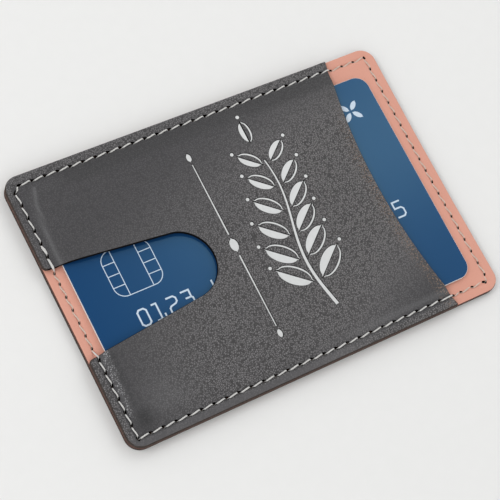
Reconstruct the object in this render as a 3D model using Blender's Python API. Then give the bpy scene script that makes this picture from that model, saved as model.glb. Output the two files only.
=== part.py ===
"""A flat leather credit card holder: three sheets sewn together round one pocket, with a card in it.

Lengths are in metres. +X runs along the holder towards the pocket's mouth, +Y across it and +Z up.
The origin is the middle of the back panel's underside.
"""

import math

import bmesh
import bpy
from mathutils import Matrix, Vector

# The card has the standard size of a bank card
CARD_LENGTH = 0.0856
CARD_WIDTH = 0.05398
CARD_THICKNESS = 0.00076
CARD_CORNER_RADIUS = 0.00318

# The holder is as much larger than the card all round
END_BORDER = 0.0047
SIDE_BORDER = 0.00576
HOLDER_CORNER_RADIUS = 0.0035

# The three sheets of leather, and the glue line between two of them
BACK_THICKNESS = 0.0008
LINING_THICKNESS = 0.00085
FRONT_THICKNESS = 0.001
GLUE_LINE = 0.00005

# The pocket is this much wider than the card on each side, and clears it above, below and where it rests
POCKET_SIDE_PLAY = 0.00061
CARD_CLEARANCE = 0.0001
CARD_END_CLEARANCE = 0.0002
CARD_REST_SHIFT = -0.00045

# The pocket's mouth is an arc that cuts into the front panel
MOUTH_TO_END = 0.01605
MOUTH_DEPTH = 0.00395

# The thumb notch opens at the other end and narrows to a round tip
NOTCH_LENGTH = 0.03595
NOTCH_MOUTH_WIDTH = 0.0218
NOTCH_TIP_RADIUS = 0.0078

# The seam is a row of needle holes along all four sides
SEAM_INSET = 0.0023
STITCH_PITCH = 0.0031
SEAM_TO_RISE = 0.0004
HOLE_LENGTH = 0.0011
HOLE_TO_PANEL_EDGE = 0.0009

# The thread is pulled flat, and each stitch slants across the row by this much to either side
THREAD_WIDTH = 0.0004
THREAD_HEIGHT = 0.00024
STITCH_SLANT = 0.00012
THREAD_CLEARANCE = 0.00005
THREAD_TO_HOLE_END = 0.00012
THREAD_TO_HOLE_SIDE = 0.00015
THREAD_TO_GROOVE_SIDE = 0.00008
THREAD_PAST_EDGE = 0.0002
LOCK_HALF_WIDTH = 0.00015
LOCK_GAP = 0.00008
CUT_END_HALF_GAP = 0.0002

# The lower thread has sunk into the underside, so that the holder doesn't rest on it
BOBBIN_ABOVE_REST = 0.00008

# Cutters run past the leather by this much
OVERRUN = 0.002

# Straight edges that stand for a curve
CORNER_STEPS = 8
MOUTH_STEPS = 16
TIP_STEPS = 20
RISE_STEPS = 5
SMOOTH_BELOW = math.radians(35)

# Places that follow from the sizes above
HALF_LENGTH = CARD_LENGTH / 2 + END_BORDER
HALF_WIDTH = CARD_WIDTH / 2 + SIDE_BORDER
SEAM_X = HALF_LENGTH - SEAM_INSET
SEAM_Y = HALF_WIDTH - SEAM_INSET
LINING_BOTTOM = BACK_THICKNESS + GLUE_LINE
LINING_TOP = LINING_BOTTOM + LINING_THICKNESS
CARD_BOTTOM = LINING_TOP + CARD_CLEARANCE
FRONT_BOTTOM = LINING_TOP + GLUE_LINE
POCKET_RISE = CARD_BOTTOM + CARD_THICKNESS + CARD_CLEARANCE - FRONT_BOTTOM
CARD_Y = CARD_CLEARANCE - POCKET_SIDE_PLAY
FLAT_Y = CARD_WIDTH / 2 + POCKET_SIDE_PLAY
FLAT_X = CARD_LENGTH / 2 - CARD_REST_SHIFT + CARD_END_CLEARANCE
MOUTH_X = HALF_LENGTH - MOUTH_TO_END
MOUTH_RADIUS = (HALF_WIDTH**2 + MOUTH_DEPTH**2) / (2 * MOUTH_DEPTH)
NOTCH_CENTRE_X = NOTCH_LENGTH - NOTCH_TIP_RADIUS - HALF_LENGTH
RIM = HOLE_LENGTH / 2 - THREAD_HEIGHT / 2 - THREAD_TO_HOLE_END
HOLE_WIDTH = THREAD_WIDTH + 2 * THREAD_TO_HOLE_SIDE
GROOVE_WIDTH = THREAD_WIDTH + 2 * (STITCH_SLANT + THREAD_TO_GROOVE_SIDE)
BACK_GROOVE_DEPTH = BOBBIN_ABOVE_REST + THREAD_HEIGHT + THREAD_CLEARANCE
LINING_GROOVE_DEPTH = THREAD_HEIGHT + THREAD_CLEARANCE


def clear_scene():
    for obj in list(bpy.data.objects):
        bpy.data.objects.remove(obj, do_unlink=True)


def material(name, colour, roughness):
    made = bpy.data.materials.new(name)
    made.use_nodes = True
    shader = made.node_tree.nodes["Principled BSDF"]
    shader.inputs["Base Color"].default_value = (*colour, 1)
    shader.inputs["Roughness"].default_value = roughness
    shader.inputs["Metallic"].default_value = 0
    return made


def new_object(name, shape, look=None):
    """Turns a bmesh into an object whose faces point outwards, smooth except at its hard edges."""
    bmesh.ops.recalc_face_normals(shape, faces=shape.faces)
    mesh = bpy.data.meshes.new(name)
    shape.to_mesh(mesh)
    shape.free()
    mesh.shade_smooth()
    mesh.set_sharp_from_angle(angle=SMOOTH_BELOW)
    obj = bpy.data.objects.new(name, mesh)
    bpy.context.collection.objects.link(obj)
    if look is not None:
        mesh.materials.append(look)
    return obj


def new_cutter(name, shape):
    cutter = new_object(name, shape)
    cutter.hide_render = True
    cutter.display_type = "WIRE"
    return cutter


def cut(obj, cutter, operation="DIFFERENCE"):
    step = obj.modifiers.new(cutter.name, "BOOLEAN")
    step.operation = operation
    step.object = cutter
    step.solver = "EXACT"


def thicken(shape, thickness):
    """Extrudes the sheet upwards, so that it stands on its lower face."""
    grown = bmesh.ops.extrude_face_region(shape, geom=shape.faces[:])
    top = [part for part in grown["geom"] if isinstance(part, bmesh.types.BMVert)]
    bmesh.ops.translate(shape, verts=top, vec=(0, 0, thickness))


def sheet_cut_to(outline, thickness):
    shape = bmesh.new()
    shape.faces.new([shape.verts.new((x, y, 0)) for x, y in outline])
    thicken(shape, thickness)
    return shape


def arc(centre, radius, start, end, steps):
    """Points on a circle from one angle to another, both ends included."""
    angles = [start + (end - start) * step / steps for step in range(steps + 1)]
    return [(centre[0] + radius * math.cos(a), centre[1] + radius * math.sin(a)) for a in angles]


def rounded_rectangle(half_length, half_width, radius):
    x, y = half_length - radius, half_width - radius
    quarter = math.pi / 2
    outline = []
    for turn, centre in enumerate([(x, y), (-x, y), (-x, -y), (x, -y)]):
        outline += arc(centre, radius, turn * quarter, (turn + 1) * quarter, CORNER_STEPS)
    return outline


def notch_tangent_angle():
    """The angle on the notch's tip circle where its straight side touches."""
    to_corner = Vector((-HALF_LENGTH - NOTCH_CENTRE_X, NOTCH_MOUTH_WIDTH / 2))
    turned = math.acos(NOTCH_TIP_RADIUS / to_corner.length)
    return math.atan2(to_corner.y, to_corner.x) - turned


def notch_half_width(x):
    """Half the notch's width where it crosses this x, on its straight sides."""
    touch = notch_tangent_angle()
    touch_x = NOTCH_CENTRE_X + NOTCH_TIP_RADIUS * math.cos(touch)
    touch_y = NOTCH_TIP_RADIUS * math.sin(touch)
    share = (x + HALF_LENGTH) / (touch_x + HALF_LENGTH)
    return NOTCH_MOUTH_WIDTH / 2 + share * (touch_y - NOTCH_MOUTH_WIDTH / 2)


def mouth_edge_x(y):
    """Where the front panel's mouth crosses this y."""
    return MOUTH_X + MOUTH_RADIUS - math.sqrt(MOUTH_RADIUS**2 - y**2)


def front_outline():
    """Two rounded corners, the concave mouth, and the notch that enters from the other end."""
    x, y = HALF_LENGTH - HOLDER_CORNER_RADIUS, HALF_WIDTH - HOLDER_CORNER_RADIUS
    quarter = math.pi / 2
    spread = math.asin(HALF_WIDTH / MOUTH_RADIUS)
    touch = notch_tangent_angle()
    mouth_centre = (MOUTH_X + MOUTH_RADIUS, 0)
    outline = arc((-x, -y), HOLDER_CORNER_RADIUS, 2 * quarter, 3 * quarter, CORNER_STEPS)
    outline += arc(mouth_centre, MOUTH_RADIUS, math.pi + spread, math.pi - spread, MOUTH_STEPS)
    outline += arc((-x, y), HOLDER_CORNER_RADIUS, quarter, 2 * quarter, CORNER_STEPS)
    outline.append((-HALF_LENGTH, NOTCH_MOUTH_WIDTH / 2))
    outline += arc((NOTCH_CENTRE_X, 0), NOTCH_TIP_RADIUS, touch, -touch, TIP_STEPS)
    outline.append((-HALF_LENGTH, -NOTCH_MOUTH_WIDTH / 2))
    return outline


def panel_lift(x, y):
    """How far the front panel has risen from the sewn border to its flat top, from 0 to 1."""
    past_side = max(0, abs(y) - FLAT_Y) / (SEAM_Y - SEAM_TO_RISE - FLAT_Y)
    past_end = max(0, -x - FLAT_X) / (SEAM_X - SEAM_TO_RISE - FLAT_X)
    fallen = min(1, math.hypot(past_side, past_end))
    return (1 + math.cos(math.pi * fallen)) / 2


def rise_lines(foot, flat):
    """Grid lines across a slope, from its foot to the flat top."""
    return [foot + (flat - foot) * step / RISE_STEPS for step in range(RISE_STEPS + 1)]


def domed_sheet():
    """The front leather before it is cut to its outline: flat over the card, low along the seam."""
    across = rise_lines(SEAM_TO_RISE - SEAM_Y, -FLAT_Y)
    ys = [-HALF_WIDTH - OVERRUN, *across, *[-y for y in reversed(across)], HALF_WIDTH + OVERRUN]
    xs = [-HALF_LENGTH - OVERRUN, *rise_lines(SEAM_TO_RISE - SEAM_X, -FLAT_X), HALF_LENGTH]
    shape = bmesh.new()
    rows = [[shape.verts.new((x, y, POCKET_RISE * panel_lift(x, y))) for y in ys] for x in xs]
    for near, far in zip(rows, rows[1:]):
        for side in range(len(ys) - 1):
            shape.faces.new((near[side], far[side], far[side + 1], near[side + 1]))
    thicken(shape, FRONT_THICKNESS)
    return shape


def seam_sides():
    """Each side of the seam, anticlockwise: its start, its direction, its length and the panel's edges on it."""
    mouth = mouth_edge_x(SEAM_Y)
    notch = notch_half_width(-SEAM_X)
    return [
        (Vector((SEAM_X, -SEAM_Y, 0)), Vector((0, 1, 0)), 2 * SEAM_Y, []),
        (Vector((SEAM_X, SEAM_Y, 0)), Vector((-1, 0, 0)), 2 * SEAM_X, [SEAM_X - mouth]),
        (Vector((-SEAM_X, SEAM_Y, 0)), Vector((0, -1, 0)), 2 * SEAM_Y, [SEAM_Y - notch, SEAM_Y + notch]),
        (Vector((-SEAM_X, -SEAM_Y, 0)), Vector((1, 0, 0)), 2 * SEAM_X, [SEAM_X + mouth]),
    ]


def hole_places(length, edges):
    """Distances of the needle holes along one side, kept off the front panel's cut edges."""
    count = round(length / STITCH_PITCH)
    places = []
    for step in range(count):
        place = length * step / count
        for edge in edges:
            if abs(place - edge) < HOLE_TO_PANEL_EDGE:
                place = edge + math.copysign(HOLE_TO_PANEL_EDGE, place - edge)
        places.append(place)
    return places


def stitch_runs():
    """Every stitch as its start, direction, length, the leather's height at both ends, and edges crossed."""
    runs = []
    on_panel = False
    for start, along, length, edges in seam_sides():
        places = [*hole_places(length, edges), length]
        for here, there in zip(places, places[1:]):
            crossed = [edge - here for edge in edges if here < edge < there]
            after = on_panel != (len(crossed) % 2 == 1)
            runs.append((start + along * here, along, there - here, on_panel, after, crossed))
            on_panel = after
    return runs


def border_top(on_panel):
    """Height of the leather that the needle meets, on the front panel or on the bare lining."""
    return FRONT_BOTTOM + FRONT_THICKNESS if on_panel else LINING_TOP


def laid_height(on_panel):
    """Height of the upper thread's middle: on top of the front panel, but sunk flush into the bare lining."""
    on_top = THREAD_CLEARANCE + THREAD_HEIGHT / 2
    return border_top(on_panel) + (on_top if on_panel else -THREAD_HEIGHT / 2)


def needle_bend(on_panel):
    """Height of the upper thread's lowest point, just above the middle of the leather."""
    return border_top(on_panel) / 2 + (THREAD_HEIGHT + LOCK_GAP) / 2


def bobbin_bend(on_panel):
    """Height of the lower thread's highest point, just below the upper thread's bend."""
    return needle_bend(on_panel) - THREAD_HEIGHT - LOCK_GAP


def pulled_tight(points):
    """Drops every point that a thread drawn tight over the others doesn't touch."""
    kept = []
    for point in points:
        while len(kept) > 1:
            (ax, az), (bx, bz), (cx, cz) = kept[-2], kept[-1], point
            if (bx - ax) * (cz - az) < (bz - az) * (cx - ax):
                break
            kept.pop()
        kept.append(point)
    return kept


def needle_profile(run, first_bend, last_bend):
    """One stitch of the upper thread, as distance along the seam and height."""
    _, _, length, before, after, crossed = run
    points = [(first_bend, needle_bend(before)), (RIM, laid_height(before))]
    for edge in crossed:
        downhill = 1 if before else -1
        points.append((edge + downhill * THREAD_PAST_EDGE, laid_height(True)))
    points += [(length - RIM, laid_height(after)), (length - last_bend, needle_bend(after))]
    return pulled_tight(points)


def bobbin_profile(run, first_bend, last_bend):
    """One stitch of the lower thread, which runs in the groove from hole to hole."""
    _, _, length, before, after, _ = run
    low = BOBBIN_ABOVE_REST + THREAD_HEIGHT / 2
    return [
        (first_bend, bobbin_bend(before)),
        (RIM, low),
        (length - RIM, low),
        (length - last_bend, bobbin_bend(after)),
    ]


def slant(distance, length):
    """Sideways place of the thread: it leaves a hole on the outer side and reaches the next on the inner."""
    if distance < RIM:
        return -STITCH_SLANT * distance / RIM
    if distance > length - RIM:
        return STITCH_SLANT * (length - distance) / RIM
    return STITCH_SLANT * (2 * (distance - RIM) / (length - 2 * RIM) - 1)


def mitre(before, here, after):
    """Half the thread's height, square to the bend between two directions in the seam's upright plane."""
    arriving = (here - before).normalized()
    leaving = (after - here).normalized()
    middle = (arriving + leaving).normalized()
    upward = Vector((-middle.y, middle.x))
    return upward * (THREAD_HEIGHT / 2) / middle.dot(arriving)


def thread_rings(profile_of):
    """Four-cornered sections along the whole thread. Its cut ends are tucked into the seam's first hole."""
    runs = stitch_runs()
    rings = []
    for index, run in enumerate(runs):
        start, along, length = run[:3]
        begins, ends = index == 0, index == len(runs) - 1
        first_bend = CUT_END_HALF_GAP if begins else LOCK_HALF_WIDTH
        last_bend = CUT_END_HALF_GAP if ends else LOCK_HALF_WIDTH
        line = [Vector(point) for point in profile_of(run, first_bend, last_bend)]
        level = Vector((length, 0))
        ahead = line[-1] * 2 - line[-2] if ends else line[-1] + level
        behind = line[0] * 2 - line[1] if begins else line[0] - level
        beside = Vector((-along.y, along.x, 0))
        for before, here, after in zip([behind, *line], line, [*line[1:], ahead]):
            middle = start + along * here.x + beside * slant(here.x, length)
            middle.z = here.y
            up = mitre(before, here, after)
            rise = along * up.x + Vector((0, 0, up.y))
            half = beside * (THREAD_WIDTH / 2)
            rings.append([middle - half - rise, middle + half - rise, middle + half + rise, middle - half + rise])
    return rings


def thread(name, profile_of, look):
    shape = bmesh.new()
    rings = [[shape.verts.new(corner) for corner in ring] for ring in thread_rings(profile_of)]
    for ring, following in zip(rings, rings[1:]):
        for side, corner in enumerate(ring):
            shape.faces.new((ring[side - 1], corner, following[side], following[side - 1]))
    shape.faces.new(rings[0])
    shape.faces.new(rings[-1])
    return new_object(name, shape, look)


def box(shape, centre, size, turn=0):
    place = Matrix.Translation(centre) @ Matrix.Rotation(turn, 4, "Z") @ Matrix.Diagonal((*size, 1))
    bmesh.ops.create_cube(shape, size=1, matrix=place)


def needle_holes():
    """Slits turned against the slant of the stitches, and wider ones where the seam turns a corner."""
    shape = bmesh.new()
    height = border_top(True) + 2 * OVERRUN
    corners = [start for start, _, _, _ in seam_sides()]
    for start, along, _, _, _, _ in stitch_runs():
        at_corner = start in corners
        turn = math.atan2(along.y, along.x) - (0 if at_corner else math.atan(STITCH_SLANT / RIM))
        width = HOLE_LENGTH if at_corner else HOLE_WIDTH
        middle = Vector((start.x, start.y, border_top(True) / 2))
        box(shape, middle, (HOLE_LENGTH, width, height), turn)
    return new_cutter("needle_holes", shape)


def bobbin_groove():
    """A square-cornered ring under the seam, cut from the underside."""
    shape = bmesh.new()
    rings = []
    for side in (GROOVE_WIDTH / 2, -GROOVE_WIDTH / 2):
        x, y = SEAM_X + side, SEAM_Y + side
        rings.append([shape.verts.new((u * x, v * y, -OVERRUN)) for u, v in ((1, 1), (-1, 1), (-1, -1), (1, -1))])
    outer, inner = rings
    for turn in range(len(outer)):
        shape.faces.new((outer[turn - 1], outer[turn], inner[turn], inner[turn - 1]))
    thicken(shape, OVERRUN + BACK_GROOVE_DEPTH)
    return new_cutter("bobbin_groove", shape)


def lining_grooves():
    """Where the lining is bare, round the mouth end and across the notch, the thread has sunk into it."""
    near, far = SEAM_Y - GROOVE_WIDTH / 2, SEAM_Y + GROOVE_WIDTH / 2
    inner, outer = SEAM_X - GROOVE_WIDTH / 2, SEAM_X + GROOVE_WIDTH / 2
    start = mouth_edge_x(SEAM_Y) + THREAD_PAST_EDGE
    upper = [(start, far), (start, near), (inner, near)]
    lower = [(x, -y) for x, y in reversed(upper)]
    height = LINING_GROOVE_DEPTH + OVERRUN
    shape = sheet_cut_to([*upper, *lower, (outer, -far), (outer, far)], height)
    reach = notch_half_width(-SEAM_X) - THREAD_PAST_EDGE
    box(shape, (-SEAM_X, 0, height / 2), (GROOVE_WIDTH, 2 * reach, height))
    cutter = new_cutter("lining_grooves", shape)
    cutter.location.z = LINING_TOP - LINING_GROOVE_DEPTH
    return cutter


def back_panel(look, holes):
    outline = rounded_rectangle(HALF_LENGTH, HALF_WIDTH, HOLDER_CORNER_RADIUS)
    panel = new_object("back_panel", sheet_cut_to(outline, BACK_THICKNESS), look)
    cut(panel, bobbin_groove())
    cut(panel, holes)


def lining_panel(look, holes):
    outline = rounded_rectangle(HALF_LENGTH, HALF_WIDTH, HOLDER_CORNER_RADIUS)
    panel = new_object("lining_panel", sheet_cut_to(outline, LINING_THICKNESS), look)
    panel.location.z = LINING_BOTTOM
    cut(panel, lining_grooves())
    cut(panel, holes)


def front_panel(look, holes):
    panel = new_object("front_panel", domed_sheet(), look)
    panel.location.z = FRONT_BOTTOM
    trim_height = POCKET_RISE + FRONT_THICKNESS + 2 * OVERRUN
    trim = new_cutter("front_outline", sheet_cut_to(front_outline(), trim_height))
    trim.location.z = FRONT_BOTTOM - OVERRUN
    cut(panel, trim, "INTERSECT")
    cut(panel, holes)


def bank_card(look):
    """Lies at the end of the pocket and against its near side, with its origin on the line it slides along."""
    outline = rounded_rectangle(CARD_LENGTH / 2, CARD_WIDTH / 2, CARD_CORNER_RADIUS)
    card = new_object("bank_card", sheet_cut_to(outline, CARD_THICKNESS), look)
    card.location = (CARD_REST_SHIFT, CARD_Y, CARD_BOTTOM)


def main():
    clear_scene()
    grey_leather = material("grey_leather", (0.082, 0.079, 0.084), 0.55)
    pink_leather = material("pink_leather", (0.69, 0.36, 0.27), 0.6)
    white_thread = material("white_thread", (0.72, 0.7, 0.66), 0.8)
    blue_plastic = material("blue_plastic", (0.025, 0.078, 0.19), 0.35)
    holes = needle_holes()
    back_panel(grey_leather, holes)
    lining_panel(pink_leather, holes)
    front_panel(grey_leather, holes)
    thread("needle_thread", needle_profile, white_thread)
    thread("bobbin_thread", bobbin_profile, white_thread)
    bank_card(blue_plastic)


main()
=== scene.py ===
# %% [markdown]
# # A sewn leather card holder with a bank card in it
#
# Three sheets of leather are glued and sewn round their rim. The top one makes a pocket: it rises over the card, its
# mouth is a shallow arc, and a thumb notch enters from the other end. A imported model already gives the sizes, in
# metres, so this script only dresses it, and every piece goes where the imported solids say.

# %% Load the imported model
import math

import bmesh
import bpy
from mathutils import Matrix, Vector


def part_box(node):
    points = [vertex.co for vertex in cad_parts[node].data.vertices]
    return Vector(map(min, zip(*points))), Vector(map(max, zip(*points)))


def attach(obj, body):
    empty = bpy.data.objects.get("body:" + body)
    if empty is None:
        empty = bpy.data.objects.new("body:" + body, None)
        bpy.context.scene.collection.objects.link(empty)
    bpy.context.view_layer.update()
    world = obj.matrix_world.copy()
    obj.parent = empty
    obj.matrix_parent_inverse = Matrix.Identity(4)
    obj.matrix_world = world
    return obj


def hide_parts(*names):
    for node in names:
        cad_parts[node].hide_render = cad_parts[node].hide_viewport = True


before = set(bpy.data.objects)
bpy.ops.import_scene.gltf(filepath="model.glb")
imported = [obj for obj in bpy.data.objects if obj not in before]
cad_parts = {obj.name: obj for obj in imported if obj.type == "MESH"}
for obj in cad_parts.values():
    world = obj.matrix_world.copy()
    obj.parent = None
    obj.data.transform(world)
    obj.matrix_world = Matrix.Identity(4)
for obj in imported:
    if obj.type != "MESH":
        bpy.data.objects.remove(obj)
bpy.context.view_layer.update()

print("nodes:", sorted(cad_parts))

# %% [markdown]
# ## Sizes
#
# The outline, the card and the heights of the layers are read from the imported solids. The mouth, the notch and the
# seam aren't in any box, so their few lengths are given again.

# %% Sizes
MM = 0.001
back_low, back_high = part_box("back_panel")
lining_low, lining_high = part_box("lining_panel")
panel_low, panel_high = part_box("front_panel")
card_low, card_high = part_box("bank_card")

HALF_LENGTH = back_high.x
HALF_WIDTH = back_high.y
CORNER_RADIUS = 3.5 * MM
LINING_TOP = lining_high.z
PANEL_BOTTOM = panel_low.z
PANEL_THICKNESS = 1.0 * MM
BORDER_TOP = PANEL_BOTTOM + PANEL_THICKNESS
POCKET_TOP = panel_high.z
POCKET_RISE = POCKET_TOP - BORDER_TOP

MOUTH_INSET = 16.05 * MM
MOUTH_DEPTH = 3.95 * MM
MOUTH_X = HALF_LENGTH - MOUTH_INSET
MOUTH_RADIUS = (HALF_WIDTH**2 + MOUTH_DEPTH**2) / (2 * MOUTH_DEPTH)
NOTCH_TIP_RADIUS = 7.8 * MM
NOTCH_CENTRE_X = -19.35 * MM
NOTCH_MOUTH_HALF = 10.9 * MM
NOTCH_SLOPE = (NOTCH_MOUTH_HALF - NOTCH_TIP_RADIUS) / (HALF_LENGTH + NOTCH_CENTRE_X)

SEAM_INSET = 2.3 * MM
SEAM_X = HALF_LENGTH - SEAM_INSET
SEAM_Y = HALF_WIDTH - SEAM_INSET
STITCH_PITCH = 3.1 * MM
print("holder in mm:", round(2 * HALF_LENGTH / MM, 1), "by", round(2 * HALF_WIDTH / MM, 1))
print("the pocket rises by", round(POCKET_RISE / MM, 2), "mm")

# %% [markdown]
# ## Camera
#
# The photographer stood at the notch end and looked down steeply, with the camera turned so that the holder lies
# across the picture. Its place was solved from the card's edges, whose size is known. The three directions are the
# columns of a rotation matrix, because a Blender camera looks along its own -Z.

# %% Camera
CAMERA_PLACE = Vector((-134.2357, -85.4956, 346.2792)) * MM
TO_RIGHT = Vector((0.86443, -0.45212, 0.21990))
TO_TOP = Vector((0.36348, 0.86419, 0.34793))
SENSOR_WIDTH = 36
LENS = 122.1346

scene = bpy.context.scene
camera_data = bpy.data.cameras.new("camera")
camera_data.sensor_width = SENSOR_WIDTH
camera_data.lens = LENS
camera_data.clip_start = 10 * MM
camera = bpy.data.objects.new("camera", camera_data)
scene.collection.objects.link(camera)
scene.camera = camera
to_right = TO_RIGHT.normalized()
backwards = to_right.cross(TO_TOP).normalized()
turn = Matrix((to_right, backwards.cross(to_right), backwards)).transposed()
camera.matrix_world = Matrix.Translation(CAMERA_PLACE) @ turn.to_4x4()
print("camera is", round(camera.location.length / MM), "mm from the holder")

# %% [markdown]
# ## Recipes for finishes
#
# A material reads more easily as arithmetic than as a drawing of boxes and wires. `Reading` wraps one socket, and sums
# and products of readings add Math nodes. `Finish` holds one material: `node` adds any node from its type, its
# settings and its sockets' values, and the other methods are the few mixes that every finish needs.

# %% Shader arithmetic
class Reading:
    """A value somewhere on the surface. Arithmetic on it adds Math nodes to its finish."""

    def __init__(self, finish, socket):
        self.finish = finish
        self.socket = socket

    def math(self, operation, first, second=0.0):
        return self.finish.node("ShaderNodeMath", {"operation": operation}, {0: first, 1: second})

    def __add__(self, other):
        return self.math("ADD", self, other)

    __radd__ = __add__

    def __sub__(self, other):
        return self.math("SUBTRACT", self, other)

    def __rsub__(self, other):
        return self.math("SUBTRACT", other, self)

    def __mul__(self, other):
        return self.math("MULTIPLY", self, other)

    def __truediv__(self, other):
        return self.math("DIVIDE", self, other)

    def __pow__(self, other):
        return self.math("POWER", self, other)

    def __abs__(self):
        return self.math("ABSOLUTE", self)

    def at_least(self, other):
        return self.math("MAXIMUM", self, other)


class Finish:
    """One material: its fixed numbers, and the nodes that vary them over the surface."""

    def __init__(self, name, fixed=None):
        self.material = bpy.data.materials.new(name)
        self.material.use_nodes = True
        self.grow(self.material.node_tree, "Principled BSDF", "Object")
        for words, value in (fixed or {}).items():
            self.shader.inputs[words].default_value = value

    def grow(self, tree, shader, place):
        """Starts from a node tree, the node that it ends in, and the coordinates that it reads."""
        self.tree = tree
        self.shader = tree.nodes[shader]
        self.place = self.node("ShaderNodeTexCoord", out=place)

    def feed(self, socket, value):
        if isinstance(value, Reading):
            self.tree.links.new(value.socket, socket)
        else:
            socket.default_value = value

    def set(self, words, value):
        self.feed(self.shader.inputs[words], value)

    def node(self, kind, settings=None, sockets=None, out=0):
        made = self.tree.nodes.new(kind)
        for word, value in (settings or {}).items():
            setattr(made, word, value)
        for socket, value in (sockets or {}).items():
            self.feed(made.inputs[socket], value)
        return Reading(self, made.outputs[out])

    def split(self, vector):
        """The three parts of a vector, each as a reading."""
        made = self.node("ShaderNodeSeparateXYZ", None, {0: vector}).socket.node
        return [Reading(self, socket) for socket in made.outputs]

    def step(self, value, start, end, low=0.0, high=1.0):
        """A soft step from low, before start, to high, after end."""
        sockets = {"Value": value, "From Min": start, "From Max": end, "To Min": low, "To Max": high}
        return self.node("ShaderNodeMapRange", {"interpolation_type": "SMOOTHSTEP"}, sockets)

    def mix(self, share, colour, other):
        """A colour between two others."""
        return self.node("ShaderNodeMix", {"data_type": "RGBA"}, {0: share, 6: colour, 7: other}, out=2)

    def noise(self, size, detail=2.0, vector=None):
        """Cloudy noise whose patches are about this long."""
        sockets = {"Vector": vector or self.place, "Scale": 1 / size, "Detail": detail}
        return self.node("ShaderNodeTexNoise", None, sockets)

    def carried(self, word):
        """A number that the mesh carries for each of its points."""
        return self.node("ShaderNodeAttribute", {"attribute_name": word}, out=2)

    def colour(self, share, first, last):
        self.set("Base Color", self.mix(share, first, last))

    def rough(self, reading, start, drift):
        self.set("Roughness", reading * drift + start)

    def bump(self, height, depth):
        """Tilts the surface as if it were this high where height is 1."""
        self.set("Normal", self.node("ShaderNodeBump", None, {"Height": height, "Distance": depth, "Strength": 1.0}))


# %% [markdown]
# ## Light
#
# The room is a soft tent with bright walls and a dark ceiling. The flat leather and the card mirror the ceiling and
# stay deep in colour, while whatever slopes mirrors a wall and shines. The card also mirrors a soft-edged window in a
# dark frame, so its sheen fades towards one corner. Two soft boxes model the leather: one from behind on the right,
# and one on the left for the slope beside the seam. Places in the tent are parts of a direction, so they have no unit.

# %% Light
scene.view_settings.view_transform = "Standard"


class Tent(Finish):
    """The world, as light that changes with height above the horizon."""

    def __init__(self, name):
        self.world = bpy.data.worlds.new(name)
        self.world.use_nodes = True
        self.grow(self.world.node_tree, "Background", "Generated")


WALL = 1.0
CEILING = 0.14
WINDOW = 2.35
FAINT_SHARE = 0.22
tent = Tent("tent")
x, y, up = tent.split(tent.place)
above = tent.step(x, 0.62, 0.52) * tent.step(up, 0.5, 0.6)
across = tent.step(x, 0.24, 0.37) * above
deep = tent.step(y, 0.05, 0.16) * FAINT_SHARE + tent.step(y, 0.179, 0.239) * (1 - FAINT_SHARE)
window = across * deep * tent.step(y, 0.32, 0.25)
frame_share = tent.step(x, 0.20, 0.30) * tent.step(y, -0.05, 0.08) * tent.step(y, 0.42, 0.32) * above
room = tent.step(up, 0.82, 0.94, WALL, CEILING)
tent.set("Color", (1, 1, 1, 1))
tent.set("Strength", room * (1 - frame_share) + frame_share * CEILING + window * WINDOW)
scene.world = tent.world


def soft_box(name, towards, distance, size, power):
    """A square lamp that faces the holder from a direction."""
    lamp_data = bpy.data.lights.new(name, "AREA")
    lamp_data.size = size
    lamp_data.energy = power
    lamp = bpy.data.objects.new(name, lamp_data)
    scene.collection.objects.link(lamp)
    direction = Vector(towards).normalized()
    facing = direction.to_track_quat("Z", "Y").to_matrix().to_4x4()
    lamp.matrix_world = Matrix.Translation(direction * distance) @ facing


soft_box("right_soft_box", (0.66, 0.42, 0.66), distance=0.9, size=0.45, power=0.9)
soft_box("left_soft_box", (-0.61, 0.21, 0.75), distance=0.8, size=0.35, power=1.4)

# %% [markdown]
# ## Grey leather
#
# The grain is small cushions under half a millimetre wide, drawn out a little in one direction, with creases between
# them. Two Voronoi textures give the distances to the nearest and the second nearest pebble. Where the two are alike
# lies a crease. Their ratio shapes the bump, darkens the creases and makes them duller. A broad slanting band across
# the pocket gets a painted sheen: a lighter colour, and grain of stronger contrast as painted glints. The margin
# outside the seam is lighter too, but its near left stretch is pressed almost smooth. Beside the mouth, wear has opened
# warm brown specks. The mesh carries three more numbers: painted glints on the pebbles of the slope over the card's
# end, painted highlights along ridges and beside the dimple, and painted shade in hollows, beside the seam and on the
# far slope.

# %% Grey leather
GRAIN = 0.38 * MM
GRAIN_ACROSS = (0.885, -0.465)
GRAIN_ALONG = (0.465, 0.885)
GRAIN_STRETCH = 0.84
GRAIN_DISORDER = 0.84
GRAIN_DEPTH = 0.115 * MM

DULL_GREY = (0.058, 0.056, 0.060, 1)
# Colours of a painted sheen in the broad band on the pocket, also used to lighten the margin.
SHEEN_AND_MARGIN_GREY = (0.166, 0.160, 0.164, 1)
SHEEN_AND_MARGIN_RIGHT_GREY = (0.178, 0.171, 0.173, 1)
DULL_CREASE = (0.024, 0.023, 0.025, 1)
SHEEN_AND_MARGIN_CREASE = (0.038, 0.036, 0.037, 1)
WORN_BROWN = (0.25, 0.165, 0.115, 1)
# Painted glints on the pebble tops of the slope over the card's end.
GLINT_PALE = (0.36, 0.36, 0.37, 1)
# Painted highlights along ridges and slopes.
HIGHLIGHT_GREY = (0.20, 0.20, 0.205, 1)
# Painted shade in hollows, beside the seam and on the far slope.
SHADE_GREY = (0.014, 0.014, 0.015, 1)


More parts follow.
